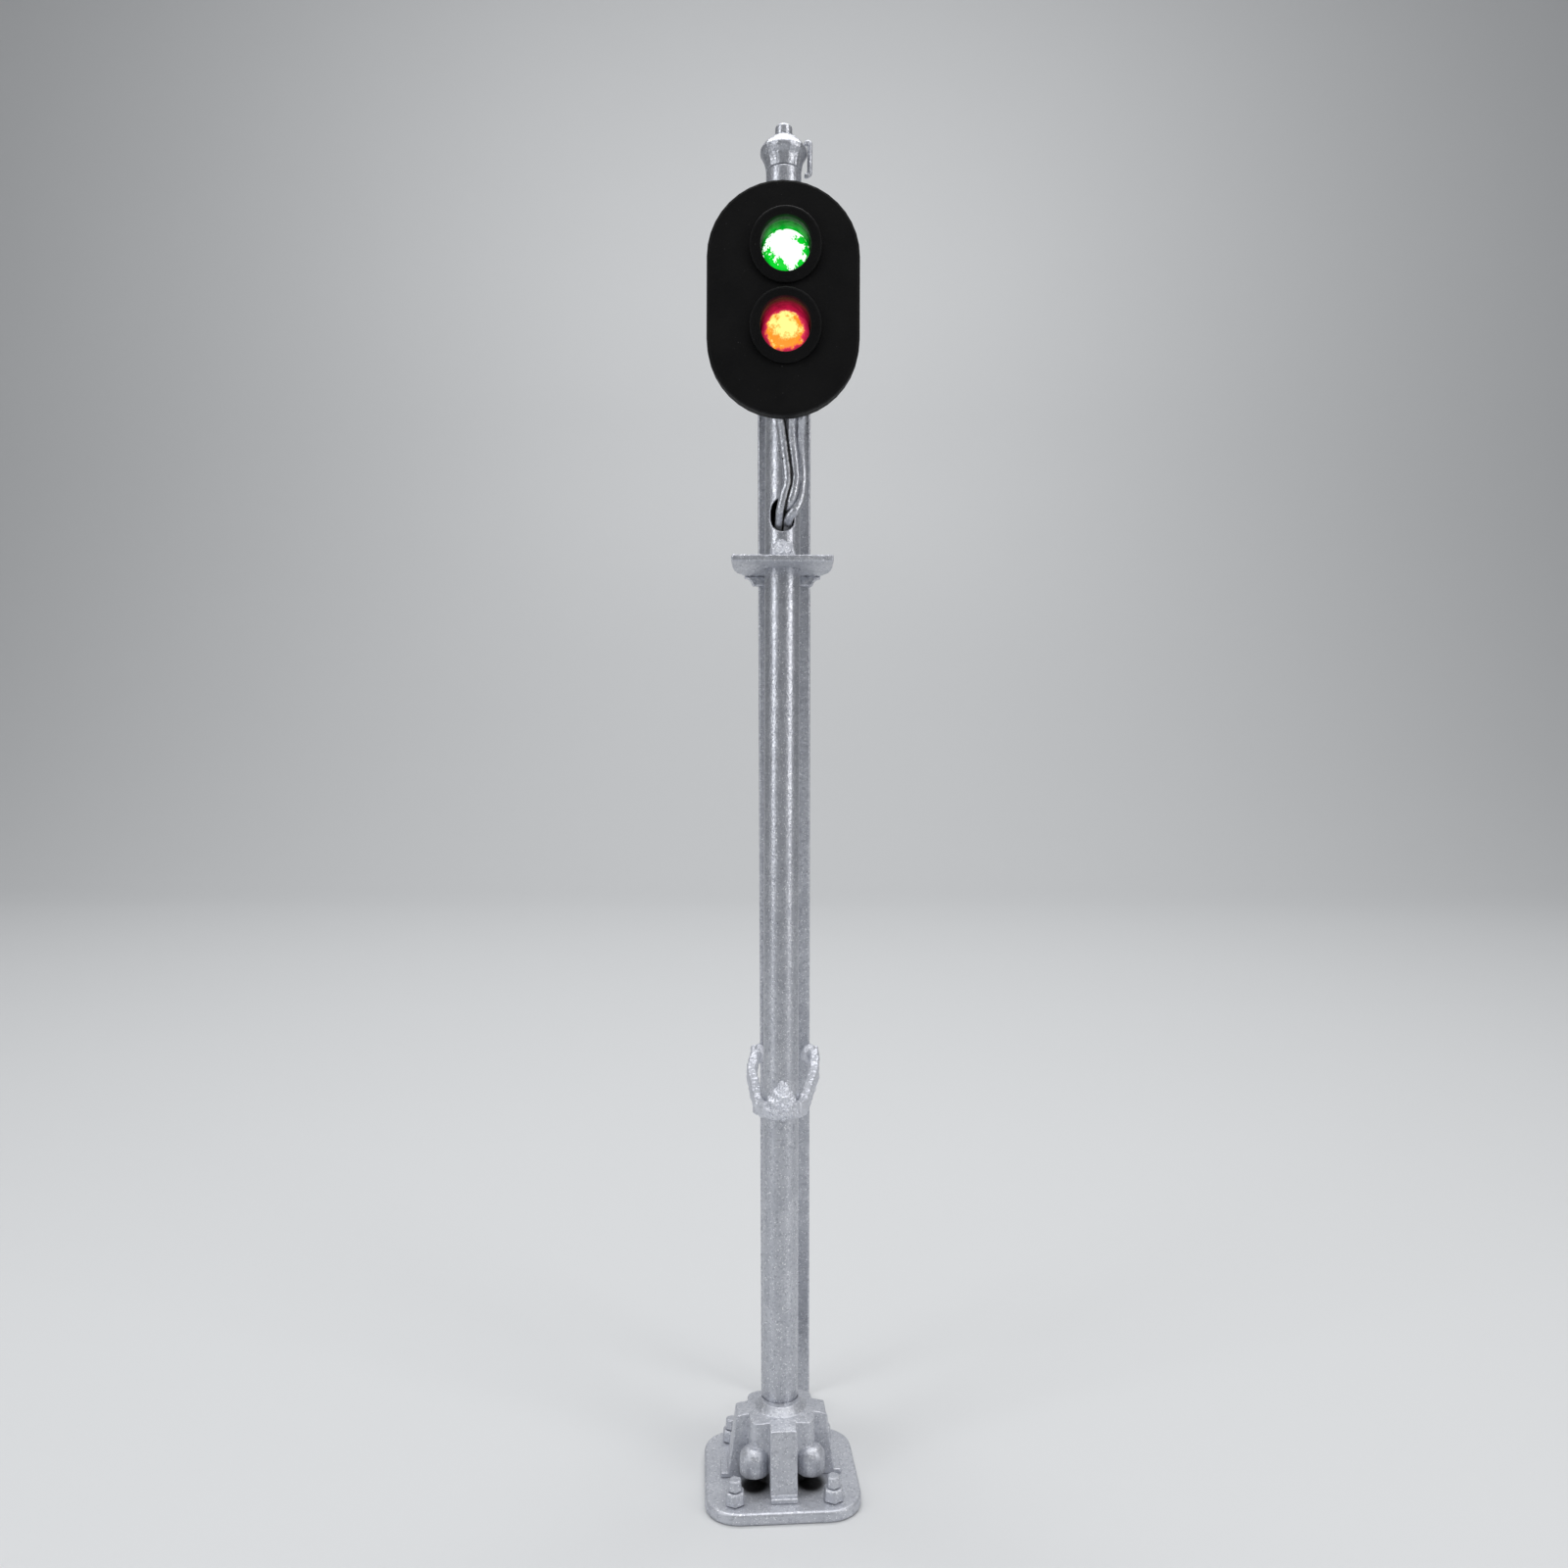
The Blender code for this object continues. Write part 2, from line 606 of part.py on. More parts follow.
def make_brace():
    """A strip bent round the front of the mast, with its ends on the outer faces of the ladder's rails."""
    bend_radius = MAST_RADIUS + GAP + BRACE_WIDE / 2
    end_x = RAIL_CENTRE_X + RAIL_WIDE / 2 + GAP + BRACE_WIDE / 2
    middle_x, end_y = ladder_middle(BRACE_END_HEIGHT)
    elbow_x, elbow_y, elbow_z = BRACE_ELBOW
    arms = [
        [
            (middle_x + side * end_x, end_y + RAIL_DEEP / 2, BRACE_END_HEIGHT),
            (middle_x + side * end_x, end_y - RAIL_DEEP / 2, BRACE_END_HEIGHT - BRACE_END_DROP),
            (middle_x / 2 + side * elbow_x, elbow_y, elbow_z),
        ]
        for side in (1, -1)
    ]
    bend = [(x, y, BRACE_HEIGHT) for x, y in arc((0, 0), bend_radius, -10, -170, 12)]
    strap = bent_bar("brace_strap", arms[0] + bend + arms[1][::-1], BRACE_WIDE, BRACE_TALL)
    round_edges(place(strap, "silver_paint"), BRACE_EDGE, 1)


def make_platform():
    rear_wide = PLATFORM_HALF - PLATFORM_REAR_HALF
    rear_long = PLATFORM_REAR_Y - PLATFORM_SIDE_END_Y
    side = [(PLATFORM_HALF, -PLATFORM_HALF)]
    for unit_x, unit_y in arc((0, 0), 1, 0, 90, 6):
        side.append((PLATFORM_REAR_HALF + rear_wide * unit_x, PLATFORM_SIDE_END_Y + rear_long * unit_y))
    plate = slab("platform_plate", mirrored_in_x(side), PLATFORM_THICK)
    place(plate, "silver_paint", (0, 0, PLATFORM_TOP - PLATFORM_THICK / 2))
    round_edges(plate, SMALL_EDGE)
    low, high = PLATFORM_TOP - PLATFORM_THICK - EAT, PLATFORM_TOP + EAT
    hole = bar_cutter("platform_hole", MAST_RADIUS + GAP, low, high)
    combine(plate, "DIFFERENCE", hole)


def make_corbels():
    """A concave bracket under each rear end of the platform, in front of a ladder rail."""
    top = PLATFORM_TOP - PLATFORM_THICK - GAP
    reach = CORBEL_OUTER_X - CORBEL_INNER_X
    flat_foot = reach - CORBEL_DROP
    curve = arc((reach, -CORBEL_DROP), CORBEL_DROP - CORBEL_LIP, 90, 180, 6)
    outline = [(0, 0), (reach, 0), *curve, (flat_foot * CORBEL_FOOT, -CORBEL_DROP), (0, -CORBEL_DROP)]
    for side, name in ((1, "platform_corbel_right"), (-1, "platform_corbel_left")):
        corbel = slab(name, [(side * (CORBEL_INNER_X + x), z) for x, z in outline], CORBEL_DEEP)
        middle_y = PLATFORM_REAR_Y - CORBEL_DEEP / 2
        place(corbel, "silver_paint", (0, middle_y, top), (math.pi / 2, 0, 0))
        round_edges(corbel, CORBEL_EDGE)


def make_bead(name, low, high, half_wide, proud):
    """A set bead of glue against the mast's front, hollowed to fit the mast."""
    bead = dome(name, half_wide, high - low, 16)
    place(bead, "silver_paint", (0, half_wide - MAST_RADIUS - proud, low))
    bore = bar_cutter(name + "_bore", MAST_RADIUS + GAP, low - EAT, high + EAT)
    combine(bead, "DIFFERENCE", bore)


# ---------------------------------------------------------------- head


def upright(x, y, z):
    """Where a slab made in its own XY plane goes so that its outline stands upright, facing the front."""
    return {"location": (x, y, z), "rotation": (math.pi / 2, 0, 0)}


def make_target_plate():
    outline = stadium(HEAD_WIDE, HEAD_TALL, 10)
    plate = slab("target_plate", outline, TARGET_THICK)
    place(plate, "black_plastic", **upright(0, HEAD_FRONT_Y + TARGET_THICK / 2, HEAD_CENTRE_Z))
    round_edges(plate, TARGET_EDGE)
    for colour, height in LAMP_HEIGHTS.items():
        where = upright(LAMP_X, HEAD_BACK_Y + EAT, height)
        where.update(low=0, high=TARGET_THICK + 2 * EAT, segments=HEAD_SEGMENTS)
        hole = bar_cutter(f"lamp_hole_{colour}", LAMP_HOLE_RADIUS, **where)
        combine(plate, "DIFFERENCE", hole)


def make_visor(colour, height):
    """A thick ring round the lamp that stands further out at the top than at the foot."""
    edge = arc((VISOR_OUTER_RADIUS - VISOR_EDGE, VISOR_REACH_TOP - VISOR_EDGE), VISOR_EDGE, 0, 90, 3)
    profile = [
        (VISOR_INNER_RADIUS, 0),
        (VISOR_INNER_RADIUS, VISOR_REACH_TOP),
        *reversed(edge),
        (VISOR_OUTER_RADIUS, 0),
    ]
    visor = turned(f"visor_{colour}", profile, HEAD_SEGMENTS, closed=True)
    for vertex in visor.data.vertices:
        share = (vertex.co.y / VISOR_OUTER_RADIUS + 1) / 2
        reach = VISOR_REACH_FOOT + (VISOR_REACH_TOP - VISOR_REACH_FOOT) * share
        vertex.co.z *= reach / VISOR_REACH_TOP
    place(visor, "black_plastic", **upright(LAMP_X, HEAD_FRONT_Y - GAP, height))


def make_lamp(colour, height):
    """A lamp with a domed lens in the plate's hole, a flange behind the plate and two legs."""
    tip_y = HEAD_FRONT_Y + LAMP_TIP_BEHIND_FRONT
    flange_front_y = HEAD_BACK_Y + GAP
    back_y = flange_front_y + LAMP_FLANGE_THICK
    body_tall = back_y - tip_y
    dome_low = body_tall - LAMP_DOME_TALL
    lens = [(LAMP_RADIUS * x, dome_low + LAMP_DOME_TALL * y) for x, y in arc((0, 0), 1, 90, 0, 7)]
    lens[0] = (0, body_tall)
    profile = [
        *lens,
        (LAMP_RADIUS, LAMP_FLANGE_THICK),
        (LAMP_FLANGE_RADIUS, LAMP_FLANGE_THICK),
        (LAMP_FLANGE_RADIUS, 0),
        (0, 0),
    ]
    lamp = turned(f"lamp_{colour}", profile, HEAD_SEGMENTS)
    place(lamp, f"{colour}_lamp", **upright(LAMP_X, back_y, height))
    for side, which in ((-1, "left"), (1, "right")):
        leg = cone(f"lamp_{colour}_leg_{which}", LEG_RADIUS, LEG_RADIUS, LEG_LONG, 8)
        leg_x = LAMP_X + side * LEG_SPREAD
        place(leg, "tinned_wire", **upright(leg_x, back_y + GAP + LEG_LONG, height))


def make_housing():
    """The wall round the lamps behind the target plate, open at both faces, with a notch for the leads."""
    outline = stadium(HOUSING_WIDE, HOUSING_TALL, 8)
    middle_y = HEAD_BACK_Y + GAP + HOUSING_DEEP / 2
    housing = slab("head_housing", outline, HOUSING_DEEP)
    place(housing, "black_plastic", **upright(0, middle_y, HEAD_CENTRE_Z))
    inner_wide = HOUSING_WIDE - 2 * HOUSING_WALL
    inner = stadium(inner_wide, HOUSING_TALL - 2 * HOUSING_WALL, 8)
    cavity = slab("housing_cavity", inner, HOUSING_DEEP + 2 * EAT)
    combine(housing, "DIFFERENCE", as_cutter(cavity, **upright(0, middle_y, HEAD_CENTRE_Z)))
    notch_low = HEAD_CENTRE_Z - HOUSING_TALL / 2 - EAT
    notch_y = middle_y + HOUSING_DEEP / 2 - NOTCH_DEEP / 2 + EAT
    notch_size = (NOTCH_WIDE, NOTCH_DEEP + EAT, NOTCH_TALL)
    notch = as_cutter(block("lead_notch", notch_size, (0, notch_y, notch_low + NOTCH_TALL / 2)))
    combine(housing, "DIFFERENCE", notch)


def make_rear_cover():
    outline = stadium(HOUSING_WIDE, HOUSING_TALL, 8)
    front_y = HEAD_BACK_Y + HOUSING_DEEP + 2 * GAP
    cover = slab("rear_cover", outline, COVER_THICK)
    place(cover, "black_plastic", **upright(0, front_y + COVER_THICK / 2, HEAD_CENTRE_Z))
    round_edges(cover, COVER_EDGE)
    return front_y + COVER_THICK


def make_saddle(front_y):
    """The block between the housing's cover and the mast, hollowed to fit the mast."""
    deep = SADDLE_BACK_Y - front_y
    centre = (0, (SADDLE_BACK_Y + front_y) / 2, HEAD_CENTRE_Z)
    saddle = block("head_saddle", (SADDLE_WIDE, deep, SADDLE_TALL))
    place(saddle, "black_plastic", centre)
    round_edges(saddle, SADDLE_EDGE)
    low, high = HEAD_CENTRE_Z - SADDLE_TALL, HEAD_CENTRE_Z + SADDLE_TALL
    combine(saddle, "DIFFERENCE", bar_cutter("saddle_bore", MAST_RADIUS + GAP, low, high))


# ---------------------------------------------------------------- leads

LEAD_ROUTES_MM = {
    # Each lead's way from its lamp leg, down the front of the mast and in through the slot.
    "lead_common": [
        (-0.42, -2.05, 71.2), (-0.42, -2.05, 67.0), (-0.4, -2.05, 64.4), (-0.2, -2.0, 62.5),
        (-0.02, -1.62, 61.4), (0.14, -1.37, 60.2), (0.3, -1.31, 58.7), (0.1, -1.34, 57.85),
        (-0.09, -1.25, 57.1), (-0.16, -0.84, 56.55), (-0.22, -0.34, 55.95), (-0.28, -0.12, 55.0),
        (-0.28, -0.1, 54.0),
    ],
    "lead_red": [
        (0.68, -2.05, 66.7), (0.66, -2.05, 64.4), (0.54, -2.0, 62.5), (0.52, -1.55, 61.3),
        (0.66, -1.23, 60.0), (0.76, -1.14, 58.9), (0.63, -1.26, 58.0), (0.47, -1.22, 57.5),
        (0.36, -1.0, 57.2), (0.3, -0.6, 56.95), (0.16, 0.05, 56.2), (0.05, 0.3, 55.0),
        (0.05, 0.3, 54.0),
    ],
    "lead_green": [
        (0.68, -2.05, 71.2), (0.9, -2.05, 70.0), (1.18, -2.05, 68.4), (1.18, -2.05, 64.4),
        (1.12, -1.97, 62.5), (1.05, -1.4, 61.3), (1.12, -0.9, 60.0), (1.17, -0.73, 58.8),
        (1.02, -1.02, 57.6), (0.74, -1.26, 56.98), (0.46, -1.18, 56.68), (0.34, -0.95, 56.5),
        (0.27, -0.5, 56.2), (0.24, -0.2, 55.2), (0.24, -0.2, 54.0),
    ],
}


def make_leads():
    for name, route in LEAD_ROUTES_MM.items():
        points = smooth_route([Vector(point) * MM for point in route], 3)
        points.append(Vector((points[-1].x, points[-1].y, LEAD_END_HEIGHT)))
        place(wire(name, points, LEAD_RADIUS), "painted_lead")


def main():
    clear_scene()
    mast = empty("mast_frame", (MAST_X, MAST_Y, 0))
    base = empty("base_frame", (*BASE_SHIFT, 0), (0, 0, BASE_TURN), mast)
    make_base_plate(base)
    make_anchors(base)
    make_pedestal(base)
    make_mast_tube()
    make_finial()
    make_finial_hook()
    make_ladder()
    make_brace()
    make_platform()
    make_corbels()
    make_bead("brace_glue_bead", *BRACE_BEAD)
    make_bead("platform_glue_bead", *PLATFORM_BEAD)
    make_target_plate()
    for colour, height in LAMP_HEIGHTS.items():
        make_visor(colour, height)
        make_lamp(colour, height)
    make_housing()
    make_saddle(make_rear_cover() + GAP)
    make_leads()


main()
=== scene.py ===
"""The looks of the model signal mast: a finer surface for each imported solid, the paint and plastic, the lit
lamps, and a plain studio. Lengths are in metres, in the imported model's own frame."""

import json
import math

import bmesh
import bpy
import numpy as np
from mathutils import Matrix, Vector, noise


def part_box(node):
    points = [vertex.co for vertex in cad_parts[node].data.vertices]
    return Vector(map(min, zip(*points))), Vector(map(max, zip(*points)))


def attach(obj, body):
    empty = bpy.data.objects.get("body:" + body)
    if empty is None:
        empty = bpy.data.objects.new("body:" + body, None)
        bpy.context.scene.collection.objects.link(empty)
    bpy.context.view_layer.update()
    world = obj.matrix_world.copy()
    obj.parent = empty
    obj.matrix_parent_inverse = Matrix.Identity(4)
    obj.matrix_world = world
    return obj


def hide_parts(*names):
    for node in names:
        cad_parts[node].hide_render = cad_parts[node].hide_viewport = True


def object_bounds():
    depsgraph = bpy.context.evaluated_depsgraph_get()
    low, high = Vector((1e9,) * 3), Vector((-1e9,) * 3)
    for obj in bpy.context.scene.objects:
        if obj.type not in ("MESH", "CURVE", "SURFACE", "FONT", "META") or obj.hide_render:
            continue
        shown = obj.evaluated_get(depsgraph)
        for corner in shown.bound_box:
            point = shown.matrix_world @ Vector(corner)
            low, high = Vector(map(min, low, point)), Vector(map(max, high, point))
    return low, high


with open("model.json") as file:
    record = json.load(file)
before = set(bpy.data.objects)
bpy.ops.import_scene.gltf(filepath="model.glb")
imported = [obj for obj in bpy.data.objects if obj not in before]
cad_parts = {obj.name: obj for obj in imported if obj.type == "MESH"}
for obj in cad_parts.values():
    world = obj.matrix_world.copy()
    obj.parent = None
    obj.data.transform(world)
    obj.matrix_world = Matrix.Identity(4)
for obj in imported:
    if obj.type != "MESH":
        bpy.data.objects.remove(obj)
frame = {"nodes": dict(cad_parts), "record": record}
CAD_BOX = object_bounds()

MM = 0.001
PER_MM = 1 / MM
SLOT_OF = {part["node"]: part["material_slot"] for part in frame["record"]["subparts"]}

# Camera: where it stands from the mast's axis, and how it is turned
CAMERA_BACK = 69.8 * MM
CAMERA_HEIGHT = 41.0 * MM
CAMERA_YAW = math.radians(-0.11)
CAMERA_ROLL = math.radians(0.18)
CAMERA_LENS = 27.0
CAMERA_SENSOR = 36.0
CAMERA_NEAR = 5 * MM

# Studio
FLOOR_HALF = 0.9
FLOOR_BEND_STEPS = 16
FLOOR_PATCH = 60.0
FLOOR_SHADE = 0.985
FLOOR_ROUGHNESS = 0.5
FLOOR_FRONT = -0.5
BACKDROP_START = 0.35
BACKDROP_CURVE = 0.25
BACKDROP_TALL = 0.9
FLOOR_COLOUR = (0.68, 0.69, 0.70)
WORLD_COLOUR = (0.95, 0.97, 1.0)
WORLD_STRENGTH = 0.23
AIM = (0, 0, 0.04)
BACKDROP_AIM = (0, 0.5, 0.1)
COOL_WHITE = (0.98, 0.99, 1.0)
WARM_WHITE = (1.0, 0.99, 0.98)
WHITE = (1, 1, 1)
LIGHTS = (   # name, place, aim, width, height, power, colour
    ("left_softbox", (-0.165, -0.12, 0.115), AIM, 0.075, 0.20, 0.125, COOL_WHITE),
    ("right_softbox", (0.165, -0.12, 0.115), AIM, 0.075, 0.20, 0.135, WARM_WHITE),
    ("top_softbox", (0, -0.04, 0.28), AIM, 0.24, 0.24, 0.38, WHITE),
    ("backdrop_light", (0, 0.16, 0.48), BACKDROP_AIM, 0.5, 0.2, 1.5, WHITE),
)

NUTS = tuple(f"anchor_nut_{i}" for i in range(1, 5))
BOLTS = tuple(f"anchor_bolt_{i}" for i in range(1, 5))
RUNGS = tuple(node for node in frame["nodes"] if node.startswith("ladder_rung"))
LAMPS = ("lamp_green", "lamp_red")

# Surface refinement, in millimetres: (nodes, cell size, smoothing passes, lump height, lump size, growth)
REFINED = (
    (("base_plate",), 0.05, 3, 0.010, 0.45, 0.005),
    (("pedestal",), 0.032, 5, 0.014, 0.35, 0.02),
    (NUTS + BOLTS, 0.02, 3, 0.014, 0.2, 0.012),
    (("mast_tube",), 0.06, 2, 0.004, 0.35, 0.0),
    (("finial_cap", "finial_pin"), 0.03, 2, 0.012, 0.28, 0.018),
    (("finial_hook",), 0.02, 2, 0.02, 0.25, 0.015),
    (("ladder_rail_left", "ladder_rail_right"), 0.05, 2, 0.010, 0.35, 0.0),
    (RUNGS, 0.035, 2, 0.012, 0.3, 0.0),
    (("brace_strap",), 0.03, 2, 0.07, 0.4, 0.04),
    (("platform_plate", "platform_corbel_left", "platform_corbel_right"), 0.035, 3, 0.03, 0.3, 0.02),
    (("visor_green", "visor_red"), 0.03, 4, 0.004, 0.4, 0.01),
    (("lead_common", "lead_green", "lead_red"), 0.04, 3, 0.02, 0.35, 0.07),
    (("platform_glue_bead",), 0.03, 3, 0.10, 0.3, 0.06),
)
EASE_FACTOR = 0.5
WELD_DISTANCE = 0.0005
LUMP_OCTAVES = 3

# Solder on the brace's ends, in millimetres: (rail, side, radii), and how far its middle is from the rail's
# middle and below and in front of the brace's upper back corner
SOLDER = (("left", -1, (0.34, 0.42, 0.62)), ("right", 1, (0.46, 0.42, 0.66)))
SOLDER_OUT = 0.38
SOLDER_IN_FRONT = 0.45
SOLDER_BELOW = 0.42
SOLDER_SEGMENTS = 24
SOLDER_RINGS = 16

# Glue heap on the brace's front, in millimetres: half its width and depth where its taper is 1
HEAP_HALF_WIDE = 0.96
HEAP_HALF_DEEP = 0.92
HEAP_IN_FRONT = 1.1
HEAP_LEAN = 0.12
HEAP_BELOW_BRACE = 0.15
HEAP_ABOVE_BEAD = 0.25
HEAP_FOOT_TAPER = 1.28
HEAP_TAPER_LOSS = 0.80
HEAP_SEGMENTS = 48
HEAP_RINGS = 40
HEAP_CELL = 0.035
HEAP_PASSES = 2
HEAP_LUMPS = ((0.16, 0.34), (0.05, 0.12))   # (height, size)

# Where the hoods stand, as shares of the way from the base's middle to its anchors
HOOD_ACROSS = 0.583
HOOD_DEEP = 0.506
# Painted shade in the hollows under the hoods, partly unpainted there too: the height of each hollow's
# middle, and the distances from it in millimetres where the dark is full and where it clears
HOLLOW_HEIGHT = 0.95 * MM
HOLLOW_DARK = 0.62
HOLLOW_CLEAR = 1.28

# Lenses, as shares of the lamp's radius and depth
LENS_SEGMENTS = 72
LENS_RINGS = 40
LENS_RADIUS = 0.82
LENS_MIDDLE = 0.55
LENS_BACK = 0.3
LENS_OCTAVES = 2
LENS_LUMP_HEIGHT = 0.05 * MM
LENS_LUMP_SIZE = 0.45 * MM

# Silver paint: sizes in millimetres, and how far each bump stands out
FLAKE_SIZE = 0.12
FINE_SIZE = 0.06
PATCH_SIZE = 1.6
GRAIN_SIZE = 0.065
PEEL_SIZE = 0.17
FLAKE_DEPTH = 0.0028
GRAIN_DEPTH = 0.004
PEEL_DEPTH = 0.017
PATCH_LIMITS = (0.35, 0.65)
DARK_FLAKES = (0.0, 0.3)
BRIGHT_FLAKES = (0.88, 1.0)
SILVER_LOW = (0.47, 0.485, 0.53)
SILVER_HIGH = (0.56, 0.575, 0.62)
SILVER_DARK_FLAKE = (0.40, 0.415, 0.46)
SILVER_BRIGHT_FLAKE = (0.85, 0.86, 0.89)
PALE_SILVER = (0.84, 0.86, 0.93)
SILVER_ROUGHNESS = (0.42, 0.27)
SILVER_METALLIC = 0.85
PALE_METALLIC_LOSS = 0.5
# Near black where the paint is absent and where shade is painted in: the pedestal's hollows and the mast's
# bore
BARE_METAL_AND_SHADE = (0.006, 0.005, 0.005)
# Painted shade inside the mast's bore, partly unpainted there too: the distances from the axis in millimetres
# where the dark is full and where it clears
BORE_EDGE = (0.84, 0.97)

# How coarse the grain is, how pale, and how much more satin the paint is on some pieces
CAST = {"coarse": 0.7, "bright": 0.12, "satin": 0.12}
ROUGH = {"coarse": 1.7, "satin": 0.05}
PALE = {"coarse": 1.5, "bright": 0.4, "satin": 0.1}
GLUE = {"coarse": 3.0, "bright": 0.7}

# Leads: unpainted inside the mast, worn patches, and painted shade in the crease on the right flank, partly
# unpainted there too
LEAD_INSIDE_MAST = (0.45, 0.8)
LEAD_WEAR_SIZE = 0.5
LEAD_WEAR_ROUGHNESS = 0.65
LEAD_WEAR = (0.68, 0.74)
LEAD_CREASE = (0.30, 0.60)
LEAD_METALLIC = 0.8
BARE_INSULATION_AND_SHADE = (0.006, 0.006, 0.006)

# Black plastic, and the lamps' glow on the walls round them
BLACK_GRAIN = 0.11
BLACK_GRAIN_DEPTH = 0.010
BLACK_GRAIN_LIMITS = (0.3, 0.7)
BLACK_ROUGHNESS = (0.48, 0.64)
BLACK_SPECULAR = 0.13
SPECK_SIZE = 0.12
SPECK_LIMITS = (0.785, 0.82)
SPECK_COLOUR = (0.04, 0.04, 0.04)
BLACK_PATCH = 2.2
BLACK_LOW = (0.0016, 0.0016, 0.0018)
BLACK_HIGH = (0.0036, 0.0035, 0.0036)
NO_GLOW = (0.0, 0.0, 0.0)
WALL_GLOW = {"lamp_green": (0.0, 0.62, 0.03), "lamp_red": (0.60, 0.010, 0.06)}
WALL_RADIUS = (1.44, 1.54)
GLOW_START = 0.3
GLOW_AT_FRONT = 0.05
GLOW_END = 0.03
GLOW_PATCH = 0.35
GLOW_PATCH_LIMITS = (0.3, 0.7)
GLOW_PATCH_SHARE = (0.55, 1.1)
GLOW_HEIGHT = (0.35, 1.15)
GLOW_BELOW = 0.02

# Spots on the lamps, in millimetres: (right, up, raggedness, size of the ragged noise, inner radius,
# outer radius)
GREEN_CORE = (0.16, 0.30, 1.2, 0.95, 0.98, 1.06)
GREEN_SURROUND = (0.0, 0.0, 0.12, 0.5, 1.05, 1.38)
RED_DISC = (-0.04, 0.0, 0.22, 0.5, 0.98, 1.12)
RED_CORE = (0.0, 0.24, 0.9, 0.6, 0.45, 1.0)
RED_SURROUND = (0.0, 0.0, 0.10, 0.5, 1.02, 1.33)
RAGGED_LIMITS = (0.25, 0.75)
RAGGED_ROUGHNESS = 0.7
GREEN_WHITE = (0.90, 1.0, 0.92)
GREEN_LIT = (0.004, 0.74, 0.03)
GREEN_RIM = (0.0, 0.22, 0.008)
GREEN_BODY = (0.0, 0.05, 0.004)
GREEN_STRENGTH = (0.95, 1.25)
RED_YELLOW = (1.0, 0.96, 0.28)
RED_ORANGE = (1.0, 0.30, 0.02)
RED_LIT = (0.86, 0.035, 0.11)
RED_RIM = (0.20, 0.003, 0.028)
RED_BODY = (0.05, 0.002, 0.004)
RED_STRENGTH = (0.95, 1.1)
RESIN_PATCH = 0.3
RESIN_LIMITS = (0.3, 0.7)
RESIN_ROUGHNESS = (0.16, 0.3)

# Tinned wire
STREAK_SIZE = 0.2
WIRE_LOW = (0.52, 0.52, 0.50)
WIRE_HIGH = (0.70, 0.70, 0.70)
WIRE_ROUGHNESS = (0.22, 0.4)


def middle_of(node):
    return sum(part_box(node), Vector()) / 2


# ---------------------------------------------------------------- nodes


class Nodes:
    """A material's node tree, with short calls that make a node and link its inputs."""

    def __init__(self, name):
        self.material = bpy.data.materials.new(name)
        self.material.use_nodes = True
        self.tree = self.material.node_tree
        self.shader = self.tree.nodes["Principled BSDF"]

    def add(self, kind, inputs=None, **settings):
        node = self.tree.nodes.new(kind)
        for key, value in settings.items():
            setattr(node, key, value)
        for key, value in (inputs or {}).items():
            self.feed(node.inputs[key], value)
        return node

    def feed(self, socket, value):
        if isinstance(value, bpy.types.NodeSocket):
            self.tree.links.new(value, socket)
        else:
            socket.default_value = value

    def place(self, centre=(0, 0, 0)):
        """Where a point of the surface is, in millimetres from a centre given in metres."""
        here = self.add("ShaderNodeTexCoord").outputs["Object"]
        moved = self.add("ShaderNodeVectorMath", {0: here, 1: tuple(centre)}, operation="SUBTRACT")
        scaled = self.add("ShaderNodeVectorMath", {0: moved.outputs[0], "Scale": PER_MM}, operation="SCALE")
        return scaled.outputs[0]

    def noise(self, where, size, detail=2.0, roughness=0.5):
        """Noise from 0 to 1 whose lumps are about size millimetres across."""
        inputs = {"Vector": where, "Scale": 1 / size, "Detail": detail, "Roughness": roughness}
        return self.add("ShaderNodeTexNoise", inputs).outputs["Fac"]

    def cells(self, where, size):
        """A random number for each cell of a foam of cells about size millimetres across."""
        found = self.add("ShaderNodeTexVoronoi", {"Vector": where, "Scale": 1 / size})
        return self.add("ShaderNodeSeparateColor", {"Color": found.outputs["Color"]}).outputs[0]

    def math(self, operation, first, second=0.0, clamp=False):
        inputs = {0: first, 1: second}
        return self.add("ShaderNodeMath", inputs, operation=operation, use_clamp=clamp).outputs[0]

    def spread(self, value, low, high, to_low=0.0, to_high=1.0, smooth=False):
        """Maps low to high onto to_low to to_high, and holds the ends."""
        inputs = {"Value": value, "From Min": low, "From Max": high, "To Min": to_low, "To Max": to_high}
        kind = "SMOOTHSTEP" if smooth else "LINEAR"
        return self.add("ShaderNodeMapRange", inputs, interpolation_type=kind).outputs["Result"]

    def mix(self, share, first, second):
        """A colour between two, by a share from 0 to 1."""
        node = self.add("ShaderNodeMix", data_type="RGBA")
        for socket, value in ((0, share), (6, first), (7, second)):
            self.feed(node.inputs[socket], (*value, 1.0) if isinstance(value, tuple) else value)
        return node.outputs[2]

    def bump(self, height, depth, under=None):
        """A bump whose height of 1 stands depth millimetres out."""
        inputs = {"Height": height, "Strength": 1.0, "Distance": depth * MM}
        if under is not None:
            inputs["Normal"] = under
        return self.add("ShaderNodeBump", inputs).outputs["Normal"]

    def set(self, **inputs):
        """Sets the shader's sockets, named with underscores for spaces."""
        for key, value in inputs.items():
            value = (*value, 1.0) if isinstance(value, tuple) and len(value) == 3 else value
            self.feed(self.shader.inputs[key.replace("_", " ")], value)
        return self.material


# ---------------------------------------------------------------- materials


def hood_centres():
    """The middle of each hollow under a hood, from the anchors, which stand on the same turned base."""
    nuts = [middle_of(nut) for nut in NUTS]
    middle = sum(nuts, Vector()) / 4
    across, deep = (nuts[1] - nuts[0]) / 2 * HOOD_ACROSS, (nuts[2] - nuts[0]) / 2 * HOOD_DEEP
    flat = [middle + side_x * across + side_y * deep for side_x in (-1, 1) for side_y in (-1, 1)]
    return [Vector((point.x, point.y, HOLLOW_HEIGHT)) for point in flat]


